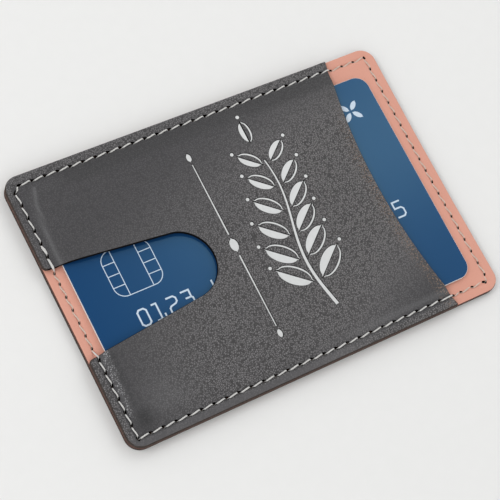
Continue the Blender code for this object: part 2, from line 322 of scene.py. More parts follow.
def grain_height(finish, x, y):
    """Pebbles from 0 in the creases to 1 on top, with finer wrinkles over them."""
    wobble = finish.noise(1.1 * MM, 1.0) * (0.13 * MM)
    across = x * GRAIN_ACROSS[0] + y * GRAIN_ACROSS[1] + wobble
    along = (x * GRAIN_ALONG[0] + y * GRAIN_ALONG[1] - wobble) * GRAIN_STRETCH
    laid = finish.node("ShaderNodeCombineXYZ", None, {0: across, 1: along, 2: 0.0})
    sockets = {"Vector": laid, "Scale": 1 / GRAIN, "Randomness": GRAIN_DISORDER}
    nearest, second = (finish.node("ShaderNodeTexVoronoi", {"feature": which}, sockets) for which in ("F1", "F2"))
    wrinkles = finish.noise(0.2 * MM, 2.0, laid)
    return finish.step(nearest / second, 1.0, 0.12) * 0.92 + wrinkles * 0.1


def painted_sheen_and_margin(finish, x, y, margin):
    """How much lighter the leather is: a painted sheen in a broad slanting band across the pocket, and the margin."""
    from_band = y * 0.82 - x * 0.573 + finish.noise(12 * MM) * (5 * MM) + 9.4 * MM
    band = finish.step(from_band, -29 * MM, -5 * MM) * finish.step(from_band, 46 * MM, 8 * MM)
    band *= finish.step(x, -46 * MM, -20 * MM) * finish.step(y, 12 * MM, 27.5 * MM, 1.0, 0.2)
    near = finish.step(y, -29.5 * MM, -30.5 * MM)
    near_side = near * (finish.step(x, -5 * MM, 28 * MM) * 0.65 - 0.10)
    left_side = (1 - near) * finish.step(y, 10 * MM, -12 * MM) * 0.65
    far_side = finish.step(y, 29 * MM, 30.5 * MM) * 0.35
    return band * (1 - margin) + margin * (0.45 + far_side + near_side + left_side)


def grey_leather():
    finish = Finish("grey_leather", {"Specular IOR Level": 0.5})
    x, y, _ = finish.split(finish.place)
    height = grain_height(finish, x, y)
    margin = finish.step((abs(x) - SEAM_X).at_least(abs(y) - SEAM_Y), 0.3 * MM, 0.9 * MM)
    sheen_and_margin = painted_sheen_and_margin(finish, x, y, margin)
    pressed_flat = margin * finish.step(y, -29 * MM, -30.4 * MM) * finish.step(x, 14 * MM, 2 * MM)
    # The grain's contrast grows with the painted sheen, as painted glints on the pebble tops.
    strength = (0.62 + sheen_and_margin * 0.50) * (1 - pressed_flat * 0.5)
    # Lighter colour for the painted sheen and the margin, lighter still towards the mouth end.
    plain = finish.mix(sheen_and_margin, DULL_GREY, SHEEN_AND_MARGIN_GREY)
    plain = finish.mix(sheen_and_margin * finish.step(x, -12 * MM, 20 * MM), plain, SHEEN_AND_MARGIN_RIGHT_GREY)
    crease = finish.mix(sheen_and_margin, DULL_CREASE, SHEEN_AND_MARGIN_CREASE)
    shown = 1.0 - (1.0 - finish.step(height, 0.0, 0.52)) * strength
    shaded = finish.mix(shown, crease, plain)
    from_mouth = ((x - (MOUTH_X + MOUTH_RADIUS)) ** 2.0 + y**2.0) ** 0.5 - MOUTH_RADIUS
    worn = finish.step(from_mouth, 0.1 * MM, 3.8 * MM, 1.0, 0.0) * finish.step(y, 28 * MM, 2 * MM)
    specks = finish.step(finish.noise(0.34 * MM, 1.0), 0.56, 0.66)
    rubbed = finish.mix(worn * specks, shaded, WORN_BROWN)
    # Painted glints on the pebble tops, where the mesh carries them.
    on_pebbles = finish.step(height, 0.22, 0.62, 0.08, 1.0)
    glinting = finish.mix(finish.carried("slope_glints") * on_pebbles, rubbed, GLINT_PALE)
    # Painted highlights, where the mesh carries them.
    highlighted = finish.mix(finish.carried("painted_highlights"), glinting, HIGHLIGHT_GREY)
    # Painted shade, where the mesh carries it.
    finish.colour(finish.carried("painted_shade"), highlighted, SHADE_GREY)
    finish.set("Roughness", finish.step(height, 0.0, 0.75, 0.64, 0.42))
    finish.bump(height * strength, GRAIN_DEPTH)
    return finish.material


# %% [markdown]
# ## Cut edges
#
# Where a sheet is cut, its fibres show: dark brown in the grey sheets, reddish in the lining, with little gloss and
# only a fine fuzz. Inside the thumb notch, in the needle holes and round the stamped foil the cut faces get painted
# shade instead: near black, for the shade under the notch's lip, down the holes and in the stamp's recess.

# %% Cut edges
def cut_edge(name, dark, light, gloss=0.5):
    finish = Finish(name, {"Roughness": 0.85, "Specular IOR Level": gloss})
    fuzz = finish.noise(0.25 * MM, 3.0)
    finish.colour(finish.step(fuzz, 0.35, 0.65), dark, light)
    finish.bump(fuzz, 0.05 * MM)
    return finish.material


# %% [markdown]
# ## Pink lining
#
# The lining is smooth, almost matt leather. Only faint clouds and fine darker pores break its colour.

# %% Pink lining
def pink_leather():
    finish = Finish("pink_leather", {"Specular IOR Level": 0.35})
    clouds = finish.noise(6 * MM, 3.0)
    pores = finish.noise(0.3 * MM, 2.0)
    plain = finish.mix(clouds, (0.655, 0.309, 0.230, 1), (0.705, 0.347, 0.264, 1))
    finish.colour(finish.step(pores, 0.6, 0.75) * 0.35, plain, (0.52, 0.25, 0.18, 1))
    finish.rough(pores, 0.55, 0.15)
    finish.bump(pores, 0.02 * MM)
    return finish.material


# %% [markdown]
# ## Thread, foil, card and print
#
# The thread is off-white polyester, coloured warmer where it's sunk in the lining. The foil is pressed
# silver, a little uneven, so only partly a mirror. The card is a blue laminate on a white core, printed with pale ink.

# %% Small finishes
def white_thread():
    finish = Finish("white_thread", {"Sheen Weight": 0.2})
    _, _, z = finish.split(finish.place)
    fibres = finish.noise(0.12 * MM, 3.0)
    bright = finish.mix(fibres, (0.48, 0.475, 0.46, 1), (0.68, 0.67, 0.65, 1))
    # Warmer colour where the thread lies sunk in the lining.
    sunk_warm = finish.mix(fibres, (0.50, 0.37, 0.30, 1), (0.68, 0.56, 0.48, 1))
    finish.colour(finish.step(z, LINING_TOP + 0.3 * MM, LINING_TOP), bright, sunk_warm)
    finish.rough(fibres, 0.65, 0.2)
    finish.bump(fibres, 0.02 * MM)
    return finish.material


def silver_foil():
    finish = Finish("silver_foil")
    patches = finish.noise(0.9 * MM, 3.0)
    finish.colour(patches, (0.63, 0.64, 0.64, 1), (0.73, 0.74, 0.74, 1))
    finish.set("Metallic", patches * 0.2 + 0.25)
    finish.rough(patches, 0.32, 0.2)
    finish.bump(patches, 0.02 * MM)
    return finish.material


def blue_laminate():
    finish = Finish("blue_laminate", {"Specular IOR Level": 0.5, "Specular Tint": (0.50, 0.92, 1.0, 1)})
    grain = finish.noise(0.15 * MM, 2.0)
    finish.colour(finish.noise(9 * MM, 2.0), (0.0080, 0.0485, 0.144, 1), (0.0095, 0.0545, 0.158, 1))
    finish.rough(grain, 0.10, 0.06)
    finish.bump(grain, 0.0015 * MM)
    return finish.material


def cloudy(name, patch, dark, light, roughness):
    """A plain finish that is nowhere quite even."""
    finish = Finish(name)
    clouds = finish.noise(patch, 2.0)
    finish.colour(clouds, dark, light)
    finish.rough(clouds, roughness, 0.1)
    return finish.material


GREY = grey_leather()
DARK_EDGE = cut_edge("dark_brown_edge", (0.018, 0.011, 0.008, 1), (0.050, 0.033, 0.024, 1))
# Near-black painted shade for the notch's cut faces, the needle holes and the stamp's recess.
PAINTED_SHADE_EDGE = cut_edge("painted_shade_edge", (0.002, 0.002, 0.002, 1), (0.007, 0.006, 0.006, 1), gloss=0.08)
RED_EDGE = cut_edge("reddish_edge", (0.055, 0.022, 0.017, 1), (0.135, 0.058, 0.043, 1))
PINK = pink_leather()
THREAD = white_thread()
FOIL = silver_foil()
BLUE = blue_laminate()
CORE = cloudy("white_core", 0.3 * MM, (0.62, 0.60, 0.58, 1), (0.78, 0.77, 0.75, 1), 0.5)
INK = cloudy("pale_ink", 0.6 * MM, (0.50, 0.62, 0.74, 1), (0.62, 0.71, 0.82, 1), 0.4)
print("finishes:", sorted(m.name for m in bpy.data.materials if m.use_nodes and m.users))

# %% [markdown]
# ## Helpers for modelling
#
# Operators work on what is selected, so a piece always starts with nothing else selected. `pick` selects parts of the
# open mesh by a test on their place. `score` cuts straight lines across a sheet, so that it has points where it has to
# bend, as a maker scores leather before folding it.

# %% Helpers for modelling
SMOOTH_UP_TO = math.radians(32)
SHARP_FROM = math.radians(60)


def only(obj):
    """Makes this the one object that operators act on."""
    bpy.ops.object.select_all(action="DESELECT")
    obj.select_set(True)
    bpy.context.view_layer.objects.active = obj


def begin(name, add, **settings):
    """Adds a primitive on its own, names it and opens it for editing."""
    bpy.ops.object.select_all(action="DESELECT")
    add(**settings)
    obj = bpy.context.active_object
    obj.name = obj.data.name = name
    bpy.ops.object.mode_set(mode="EDIT")
    return obj


def everything():
    bpy.ops.mesh.select_all(action="SELECT")


def pick(kind, test):
    """Selects the vertices or the edges of the open mesh that pass a test, and says how many."""
    mesh = bpy.context.edit_object.data
    bpy.ops.mesh.select_mode(type=kind)
    bpy.ops.mesh.select_all(action="DESELECT")
    shape = bmesh.from_edit_mesh(mesh)
    chosen = [part for part in {"VERT": shape.verts, "EDGE": shape.edges}[kind] if test(part)]
    for part in chosen:
        part.select_set(True)
    bmesh.update_edit_mesh(mesh)
    return len(chosen)


def stretch(along_x, along_y, centre=(0, 0, 0)):
    bpy.ops.transform.resize(value=(along_x, along_y, 1), center_override=centre)


def raise_up(height):
    """Extrudes what is selected straight up."""
    bpy.ops.mesh.extrude_region_move(TRANSFORM_OT_translate={"value": (0, 0, height)})


def close():
    """Leaves edit mode, with every face pointing outwards."""
    everything()
    bpy.ops.mesh.normals_make_consistent(inside=False)
    bpy.ops.object.mode_set(mode="OBJECT")


def wear(obj, *looks):
    """Gives an object these material slots."""
    obj.data.materials.clear()
    for look in looks:
        obj.data.materials.append(look)
    return obj


def settle(obj, *looks):
    """Puts a finished piece's place into its mesh, smooths it except at hard edges, and gives it its looks."""
    only(obj)
    bpy.ops.object.transform_apply(location=True, rotation=True, scale=True)
    bpy.ops.object.shade_smooth_by_angle(angle=SMOOTH_UP_TO)
    return wear(obj, *looks) if looks else obj


def join(name, parts):
    """Joins several objects into one, which sits at the origin."""
    only(parts[0])
    for part in parts:
        part.select_set(True)
    bpy.ops.object.transform_apply(location=True, rotation=True, scale=True)
    bpy.ops.object.join()
    parts[0].name = parts[0].data.name = name
    return parts[0]


def modify(obj, kind, **settings):
    """Works one modifier into an object's mesh."""
    only(obj)
    step = obj.modifiers.new(kind, kind)
    for word, value in settings.items():
        setattr(step, word, value)
    bpy.ops.object.modifier_apply(modifier=step.name)


def cut(obj, cutter, overlaps=False):
    """Takes the cutter's shape out of the object, and removes the cutter. Its own parts may overlap."""
    modify(obj, "BOOLEAN", object=cutter, operation="DIFFERENCE", solver="EXACT", use_self=overlaps)
    bpy.data.objects.remove(cutter, do_unlink=True)


def round_edges(obj, width, segments):
    modify(obj, "BEVEL", width=width, segments=segments, limit_method="ANGLE", angle_limit=SHARP_FROM)


def score(obj, x_places, y_places):
    """Cuts lines right across a sheet, square to x at some places and square to y at others."""
    only(obj)
    bpy.ops.object.mode_set(mode="EDIT")
    for axis, places in ((Vector((1, 0, 0)), x_places), (Vector((0, 1, 0)), y_places)):
        for place in places:
            everything()
            bpy.ops.mesh.bisect(plane_co=axis * place, plane_no=axis)
    bpy.ops.object.mode_set(mode="OBJECT")
    settle(obj)


def spread(start, end, step):
    """Evenly spaced numbers from start to end, no further apart than step."""
    count = max(1, math.ceil(abs(end - start) / step - 1e-9))
    return [start + (end - start) * i / count for i in range(count + 1)]


# %% [markdown]
# ## Cutting a blank
#
# All three sheets start as a rounded rectangle: a plane is stretched to size, its corners are bevelled as points, and
# it is raised to its thickness. A Bevel modifier then rounds the cut rims, as a knife and a burnisher do. Upright
# faces get the second slot, for the fibres of the cut, and so do the rounded rims, except that on the far side and the
# mouth end only the steeper part of a rim does. The third slot is painted shade, near black: the notch's cut faces
# and the needle holes, where shade falls.

# %% Cutting a blank
RIM_ROUND = 0.28 * MM
FACE_SLOT, EDGE_SLOT, PAINTED_SHADE_SLOT = 0, 1, 2
FAR_RIM_SLOPE_LIMIT = 0.6
RIM_SLOPE_LIMIT = 0.85


def blank(name, low, high, face_look, edge_look):
    """A rounded rectangle of leather between two heights, with a look for its faces and one for its cut edges."""
    obj = begin(name, bpy.ops.mesh.primitive_plane_add, size=1, location=(0, 0, low))
    stretch(2 * HALF_LENGTH, 2 * HALF_WIDTH)
    bpy.ops.mesh.bevel(offset_type="OFFSET", offset=CORNER_RADIUS, segments=12, affect="VERTICES")
    everything()
    raise_up(high - low)
    close()
    return wear(obj, face_look, edge_look, PAINTED_SHADE_EDGE)


def round_rims(obj, outer_slope_limit=RIM_SLOPE_LIMIT):
    """Rounds the rims, then marks the cut faces, and the rims up to a slope, for the second material."""
    round_edges(obj, RIM_ROUND, 3)
    for face in obj.data.polygons:
        # On the far side and the end, only the steeper part of a rim gets the cut edge's look.
        far_or_end = face.center.x > HALF_LENGTH - MM or face.center.y > HALF_WIDTH - MM
        outer = face.center.x < MM - HALF_LENGTH or face.center.y < MM - HALF_WIDTH
        limit = FAR_RIM_SLOPE_LIMIT if far_or_end else outer_slope_limit if outer else RIM_SLOPE_LIMIT
        face.material_index = EDGE_SLOT if abs(face.normal.z) < limit else FACE_SLOT


# %% [markdown]
# ## The seam
#
# One machine seam runs anticlockwise round all four sides from the near right corner, where its two ends come out side
# by side. It strays outwards a little on the way up the notch end. Holes that would fall on the pocket's cut edges are
# moved off them. Each stitch is kept as its two holes, and each hole with the direction in which the seam passes it.

# %% The seam
HOLE_TO_EDGE = 0.9 * MM
SEAM_START = Vector((44.5 * MM, -SEAM_Y))
SEAM_END = Vector((44.0, -30.2)) * MM
SEAM_ASTRAY = 0.25 * MM


def mouth_x(y):
    """Where the pocket's mouth crosses this y."""
    return MOUTH_X + MOUTH_RADIUS - math.sqrt(MOUTH_RADIUS**2 - y * y)


def notch_half(x):
    """Half the notch's width at this x, on its straight sides."""
    return NOTCH_TIP_RADIUS + (NOTCH_CENTRE_X - x) * NOTCH_SLOPE


def on_pocket(place):
    """True where the pocket's sheet covers this place on the seam."""
    in_notch = place.x < MM - SEAM_X and abs(place.y) < notch_half(place.x)
    return place.x <= mouth_x(place.y) and not in_notch


seam_corners = [
    SEAM_START,
    Vector((SEAM_X, -28.7 * MM)),
    Vector((SEAM_X, SEAM_Y)),
    Vector((-43.9 * MM, SEAM_Y)),
    Vector((-SEAM_X - SEAM_ASTRAY, 29.15 * MM)),
    Vector((-SEAM_X, -SEAM_Y)),
    SEAM_END,
]
crossings = ((mouth_x(SEAM_Y), SEAM_Y), (-SEAM_X, notch_half(-SEAM_X)))
pocket_edges = [Vector((x, side * y)) for x, y in crossings for side in (1, -1)]

holes = []
for corner, following in zip(seam_corners, seam_corners[1:]):
    side = following - corner
    along = side.normalized()
    count = max(1, round(side.length / STITCH_PITCH))
    for i in range(count):
        hole = corner + side * i / count
        for edge in pocket_edges:
            gap = (hole - edge).dot(along)
            if abs(gap) < HOLE_TO_EDGE and (hole - edge).length < 1.2 * HOLE_TO_EDGE:
                onto_lining = -0.4 if on_pocket(edge + along * MM) else 0.4
                hole = hole + along * (math.copysign(HOLE_TO_EDGE, gap + onto_lining * MM) - gap)
        holes.append(hole)
holes.append(SEAM_END)
stitches = list(zip(holes, holes[1:]))
headings = [(end - start).normalized() for start, end in stitches]
headed_holes = [(hole, (before + after).normalized())
                for hole, before, after in zip(holes, [headings[0], *headings], [*headings, headings[-1]])]
print(len(holes), "holes, shortest stitch", round(1000 * min((b - a).length for a, b in stitches), 2), "mm")

# %% [markdown]
# ## Needle holes
#
# The needle leaves slits that are turned against the slant of the stitches. One slit is a cube, stretched and rounded
# at its ends, and its copies at all holes are joined into one cutter for each sheet. Slits in the bare lining are
# smaller, because there the thread has been pulled into soft leather. A cutter carries the sheets' slots, so that the
# walls it leaves get the painted shade: near black, for the shade down the holes.

# %% Needle holes
SLIT_ON_POCKET = (1.2 * MM, 0.68 * MM)
SLIT_ON_LINING = (0.78 * MM, 0.52 * MM)
SLIT_TURN = math.radians(-20)
SLIT_HEIGHT = 20 * MM


# Gives every face of a cutter the painted shade, so the walls that it leaves are near black.
def painted_shade_inside(cutter):
    wear(cutter, GREY, DARK_EDGE, PAINTED_SHADE_EDGE)
    for face in cutter.data.polygons:
        face.material_index = PAINTED_SHADE_SLOT
    return cutter


def slit_cutter(places):
    """Slits through the whole holder at these holes."""
    master = begin("slit", bpy.ops.mesh.primitive_cube_add, size=1)
    pick("EDGE", lambda edge: abs(edge.verts[0].co.z - edge.verts[1].co.z) > 0.5)
    bpy.ops.mesh.bevel(offset=0.3, offset_type="OFFSET", segments=2, affect="EDGES")
    close()
    copies = []
    for hole, heading in places:
        length, width = SLIT_ON_POCKET if on_pocket(hole) else SLIT_ON_LINING
        copy = master.copy()
        copy.data = master.data.copy()
        scene.collection.objects.link(copy)
        turned = Matrix.Rotation(math.atan2(heading.y, heading.x) + SLIT_TURN, 4, "Z")
        copy.matrix_world = Matrix.Translation((*hole, 0)) @ turned @ Matrix.Diagonal((length, width, SLIT_HEIGHT, 1))
        copies.append(copy)
    bpy.data.objects.remove(master, do_unlink=True)
    return painted_shade_inside(join("slits", copies))


# %% [markdown]
# ## Seam dents
#
# A stitch pulls the leather down along the row. A bell curve of the distance to the seam's rectangle lowers each
# point.

# %% Seam dents
BESIDE_SEAM = (0.0, 0.15, 0.3, 0.45, 0.65, 0.9)


def bell(distance, width):
    """1 at no distance, and near 0 past twice the width."""
    return math.exp(-((distance / width) ** 2))


def ramp(place, start, end):
    """0 up to start and 1 from end on, both in millimetres, with a soft start and end."""
    share = min(1.0, max(0.0, (place / MM - start) / (end - start)))
    return share * share * (3 - 2 * share)


def to_seam(x, y):
    """Distance from a place to the row of stitches."""
    strayed = SEAM_ASTRAY * (y + SEAM_Y) / (2 * SEAM_Y) if x < 0 else 0
    over_x, over_y = abs(x) - SEAM_X - strayed, abs(y) - SEAM_Y
    outside = math.hypot(max(over_x, 0), max(over_y, 0))
    return abs(outside + min(max(over_x, over_y), 0))


def across_seam(seam):
    """Places for scored lines on both sides of a seam line, dense where the leather dips."""
    offsets = [side * offset * MM for side in (-1, 1) for offset in BESIDE_SEAM]
    return sorted({sign * (seam + offset) for sign in (-1, 1) for offset in offsets})


# %% [markdown]
# ## Back sheet
#
# Only its cut edge and its underside show. The lower thread has pressed a groove into the underside.

# %% Back sheet
BACK_GROOVE = 0.33 * MM

back_leather = blank("back_leather", back_low.z, back_high.z, GREY, DARK_EDGE)
round_rims(back_leather)
score(back_leather, across_seam(SEAM_X), across_seam(SEAM_Y))
for vertex in back_leather.data.vertices:
    if vertex.co.z < 0.3 * MM:
        vertex.co.z += BACK_GROOVE * bell(to_seam(vertex.co.x, vertex.co.y), 0.4 * MM)
cut(back_leather, slit_cutter(headed_holes), overlaps=True)
print("back sheet:", len(back_leather.data.polygons), "faces")

# %% [markdown]
# ## Lining
#
# The pink lining shows round the mouth end and in the thumb notch. There the thread has sunk almost flush into it, so
# that a card slides over the stitches. Under the pocket's sheet it stays flat.

# %% Lining
LINING_DENT = 0.26 * MM
DENT_STARTS = (0.0, 0.3, 0.6)


def lining_dip(x, y):
    """How far the bare lining is pulled down beside the seam."""
    past_mouth = ramp(x - mouth_x(y), 0, DENT_STARTS[-1])
    in_notch = ramp(notch_half(x) - abs(y), 0, DENT_STARTS[-1]) if x < NOTCH_CENTRE_X else 0
    return LINING_DENT * max(past_mouth, in_notch) * bell(to_seam(x, y), 0.34 * MM)


lining_leather = blank("lining_leather", lining_low.z, lining_high.z, PINK, RED_EDGE)
round_rims(lining_leather)
mouth_lines = [mouth_x(SEAM_Y) + offset * MM for offset in DENT_STARTS]
notch_lines = [sign * (notch_half(-SEAM_X) - offset * MM) for sign in (-1, 1) for offset in DENT_STARTS]
score(lining_leather, across_seam(SEAM_X) + mouth_lines, across_seam(SEAM_Y) + notch_lines)
for vertex in lining_leather.data.vertices:
    if vertex.co.z > (lining_low.z + lining_high.z) / 2:
        vertex.co.z -= lining_dip(vertex.co.x, vertex.co.y)
cut(lining_leather, slit_cutter(headed_holes), overlaps=True)
print("lining:", len(lining_leather.data.polygons), "faces")

# %% [markdown]
# ## Pocket sheet: its outline
#
# The mouth is an arc of a very large circle, so a huge flat cylinder cuts it. The notch is a circle whose left part is
# cut away and drawn out, wider and wider, past the end. The corners where the two open are rounded by bevelling their
# upright edges.

# %% Pocket outline
TALL = 6 * MM
PAST_END = 3 * MM
NOTCH_CORNER = 0.9 * MM
MOUTH_CORNER = 0.35 * MM
NOTCH_RIM = 0.4 * MM
NOTCH_END_LEFT = 1.2 * MM
pocket_leather = blank("pocket_leather", PANEL_BOTTOM, BORDER_TOP, GREY, DARK_EDGE)

mouth_cutter = begin("mouth_cutter", bpy.ops.mesh.primitive_cylinder_add, vertices=512, radius=MOUTH_RADIUS,
                     depth=TALL, location=(MOUTH_X + MOUTH_RADIUS, 0, PANEL_BOTTOM))
close()
cut(pocket_leather, mouth_cutter)

touch_angle = math.pi / 2 - math.atan(NOTCH_SLOPE)
touch_x = NOTCH_CENTRE_X + NOTCH_TIP_RADIUS * math.cos(touch_angle)
half_at_touch = NOTCH_TIP_RADIUS * math.sin(touch_angle)
reach = touch_x + HALF_LENGTH + PAST_END
notch_cutter = begin("notch_cutter", bpy.ops.mesh.primitive_circle_add, vertices=96, radius=NOTCH_TIP_RADIUS,
                     fill_type="NGON", location=(NOTCH_CENTRE_X, 0, PANEL_BOTTOM - TALL / 2))
everything()
bpy.ops.mesh.bisect(plane_co=(touch_x, 0, 0), plane_no=(1, 0, 0), clear_inner=True)
pick("EDGE", lambda edge: all(abs(v.co.x + NOTCH_CENTRE_X - touch_x) < 0.01 * MM for v in edge.verts))
bpy.ops.mesh.extrude_region_move(TRANSFORM_OT_translate={"value": (-reach, 0, 0)})
stretch(1, 1 + reach * NOTCH_SLOPE / half_at_touch)
everything()
raise_up(TALL)
close()
cut(pocket_leather, notch_cutter)


def round_corner(x, y, radius, segments):
    """Rounds the upright edges that stand at this place on either side, and says how many there are."""
    def stands_there(edge):
        first, last = (v.co for v in edge.verts)
        return abs(first.z - last.z) > 0.5 * MM and math.hypot(first.x - x, abs(first.y) - y) < 0.3 * MM

    found = pick("EDGE", stands_there)
    bpy.ops.mesh.bevel(offset=radius, offset_type="OFFSET", segments=segments, affect="EDGES")
    return found


only(pocket_leather)
bpy.ops.object.mode_set(mode="EDIT")
found = round_corner(-HALF_LENGTH, NOTCH_MOUTH_HALF, NOTCH_CORNER, 5)
found += round_corner(mouth_x(HALF_WIDTH), HALF_WIDTH, MOUTH_CORNER, 3)
close()
round_rims(pocket_leather, outer_slope_limit=0.98)
# The notch's cut faces get the painted shade, near black, for the shade under its lip.
for face in pocket_leather.data.polygons:
    x, y, _ = face.center
    in_tip = math.hypot(x - NOTCH_CENTRE_X, y) < NOTCH_TIP_RADIUS + NOTCH_RIM
    in_notch = NOTCH_END_LEFT - HALF_LENGTH < x < NOTCH_CENTRE_X and abs(y) < notch_half(x) + NOTCH_RIM
    if face.material_index == EDGE_SLOT and (in_tip or in_notch):
        face.material_index = PAINTED_SHADE_SLOT
print("rounded", found, "upright corners")

# %% [markdown]
# ## Pocket sheet: its relief
#
# Wet leather was pressed over a card and dried, so it stands up by the card's height and falls to the seam in a soft
# slope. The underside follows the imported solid, which leaves the card free. The top side's slope is wider at the far
# side and at the far left, where a faint ridge marks the card's end, and a shallow dimple marks the near left corner.
# The sheet is scored where it bends, then each point is lifted by the height at its place.

# %% Pocket relief
SLOPE_FOOT_X = SEAM_X - 0.4 * MM
SLOPE_FOOT_Y = SEAM_Y - 0.4 * MM
CARD_END_X = 43.45 * MM
CARD_SIDE_Y = 27.6 * MM
TOP_SIDE_FAR = 26.0 * MM
TOP_SIDE_NEAR = 27.0 * MM
RIDGE = [(-41.3, 28.6), (-42.5, 25.0), (-43.15, 21.4), (-43.4, 17.7), (-43.5, 12.5), (-43.4, 9.0)]
CARD_END_LINE = [(-42.5, -27.0), (-42.9, -23.5), (-42.7, -17.0), (-42.5, -12.0)]
DIMPLE = (-42.2, -26.7)
# Where a painted highlight lies beside the dimple.
HIGHLIGHT_SPOT = (-36.5, -25)
SCORE_STEP = 0.3 * MM
SHOWN_ABOVE = PANEL_BOTTOM + 0.6 * MM


def lifted(x, y, end_x, far_y, near_y):
    """Height of a pressed sheet over its margin, from the foot of the slope up to the flat."""
    side_y = far_y if y > 0 else near_y
    past_side = max(0.0, abs(y) - side_y) / (SLOPE_FOOT_Y - side_y)
    past_end = max(0.0, -x - end_x) / (SLOPE_FOOT_X - end_x)
    return POCKET_RISE * (1 + math.cos(math.pi * min(1.0, math.hypot(past_side, past_end)))) / 2


def to_line(x, y, points):
    """Distance from a place to a line through points given in millimetres."""
    place = Vector((x, y))
    distances = []
    for first, last in zip(points, points[1:]):
        start, side = Vector(first) * MM, (Vector(last) - Vector(first)) * MM
        share = min(1.0, max(0.0, (place - start).dot(side) / side.length_squared))
        distances.append((place - start - side * share).length)
    return min(distances)


def to_spot(x, y, spot, along_x=1.0, along_y=1.0):
    """Distance from a place to a spot in millimetres, with its two parts weighted."""
    return math.hypot((x - spot[0] * MM) * along_x, (y - spot[1] * MM) * along_y)


def sprung_lip(x, y):
    """How far the notch's far lip has sprung up from the card."""
    round_tip = math.hypot(x - NOTCH_CENTRE_X, y) - NOTCH_TIP_RADIUS
    beside = y - notch_half(x) if x < NOTCH_CENTRE_X else round_tip
    along = ramp(x, -43.5, -38.5) * ramp(x, -12, -19) * ramp(y, 0, 5)
    return 0.5 * MM * along * bell(max(0.0, beside), 2.6 * MM)


def underside(x, y):
    return lifted(x, y, CARD_END_X, CARD_SIDE_Y, CARD_SIDE_Y) + sprung_lip(x, y)


def top_side(x, y):
    """Height that the upper face gains over the flat blank."""
    end_x = (42.8 - 1.2 * ramp(y, -8, 8)) * MM
    ridge = 0.14 * MM * bell(to_line(x, y, RIDGE), 0.45 * MM)
    dimple = 0.45 * MM * bell(to_spot(x, y, DIMPLE, 1.0, 1.3), 1.9 * MM)
    seam = 0.16 * MM * bell(to_seam(x, y), 0.42 * MM)
    return lifted(x, y, end_x, TOP_SIDE_FAR, TOP_SIDE_NEAR) + ridge - dimple - seam + sprung_lip(x, y)


def painted_shade(x, y):
    """How strongly shade is painted here, in hollows, beside the seam and on the far slope, from 0 to 1."""
    dimple = 0.78 * bell(to_spot(x, y + 0.4 * MM, DIMPLE), 2.3 * MM)
    card_end = 0.32 * bell(to_line(x, y, CARD_END_LINE), 0.9 * MM)
    far_slope = (0.44 + 0.12 * ramp(x, 0, 30)) * ramp(x, -39, -31) * ramp(y, 25.4, 27.6) * ramp(y, 30.2, 29.8)
    return max(dimple, card_end, far_slope, 0.3 * bell(to_seam(x, y), 0.55 * MM))


def slope_glints(x, y):
    """How strongly glints are painted on the pebbles here, on the slope over the card's end, from 0 to 1."""
    band_end = -42.7 - ramp(y, -10, -25)
    return 0.62 * ramp(x, band_end, band_end - 0.4) * ramp(x, -44.9, -44.6) * ramp(y, -9, -10) * ramp(y, -27, -24.5)


def painted_highlights(x, y):
    """How strongly a highlight is painted here, along the ridge, the near slope and beside the dimple, from 0 to 1."""
    crest = 0.28 * bell(to_line(x, y, RIDGE), 0.4 * MM)
    shoulder = 0.26 * bell(y + 28.8 * MM, 0.75 * MM) * ramp(x, -12, 23)
    by_dimple = 0.13 * bell(to_spot(x, y, HIGHLIGHT_SPOT, 0.6, 1.0), 3.4 * MM)
    return max(crest, shoulder, by_dimple)


notch_end = [place for place in across_seam(SEAM_X) if place < 0]
slope_x = spread(-39.0 * MM, BESIDE_SEAM[-1] * MM - SEAM_X, SCORE_STEP)
slope_y = spread(24.0 * MM, SEAM_Y - BESIDE_SEAM[-1] * MM, SCORE_STEP)
flat_x = [*spread(-38 * MM, -12 * MM, 1.5 * MM), *spread(-6 * MM, 30 * MM, 6 * MM)]
flat_y = [*spread(-18 * MM, 0, 6 * MM), *spread(4 * MM, 14 * MM, MM), 18 * MM]
score(pocket_leather, [*notch_end, *slope_x], [*across_seam(SEAM_Y), *slope_y, *[-y for y in slope_y]])
score(pocket_leather, flat_x, flat_y)
for vertex in pocket_leather.data.vertices:
    x, y, z = vertex.co
    share = (z - PANEL_BOTTOM) / PANEL_THICKNESS
    vertex.co.z += underside(x, y) * (1 - share) + top_side(x, y) * share
# The painted glints, painted highlights and painted shade are stored at each point of the top side.
for rule in (slope_glints, painted_highlights, painted_shade):
    carried = pocket_leather.data.attributes.new(rule.__name__, "FLOAT", "POINT")
    for vertex, value in zip(pocket_leather.data.vertices, carried.data):
        value.value = rule(vertex.co.x, vertex.co.y) if vertex.co.z > SHOWN_ABOVE else 0
cut(pocket_leather, slit_cutter([pair for pair in headed_holes if on_pocket(pair[0])]))
print("pocket sheet:", len(pocket_leather.data.polygons), "faces")

# %% [markdown]
# ## Strokes and leaves for ornament and print
#
# Ornament and print are flat figures, in millimetres. A ribbon is a curve extruded sideways: turned by a quarter, it
# lies flat. Each point's radius sets its width there, and grows at a corner so that the stroke keeps its width. A leaf
# is a circle squeezed flat with its tips drawn out. It can be cut along its midrib, with a thin stroke along the edge
# for its other half.

# %% Flat figures
TIP_DRAW = 1.2
EDGE_STEPS = 16
EDGE_TIP = (0.455, 0.2)
EDGE_WIDTH = 0.14
EDGE_SWELL = 0.26


def poly_curve(places, closed=False):
    """A curve that runs straight from each place to the next, and its knots."""
    bpy.ops.object.select_all(action="DESELECT")
    bpy.ops.curve.primitive_nurbs_path_add()
    curve = bpy.context.active_object
    curve.data.splines.clear()
    spline = curve.data.splines.new("POLY")
    spline.points.add(len(places) - 1)
    spline.use_cyclic_u = closed
    for knot, place in zip(spline.points, places):
        knot.co = (*place, 1)
    return curve, spline.points


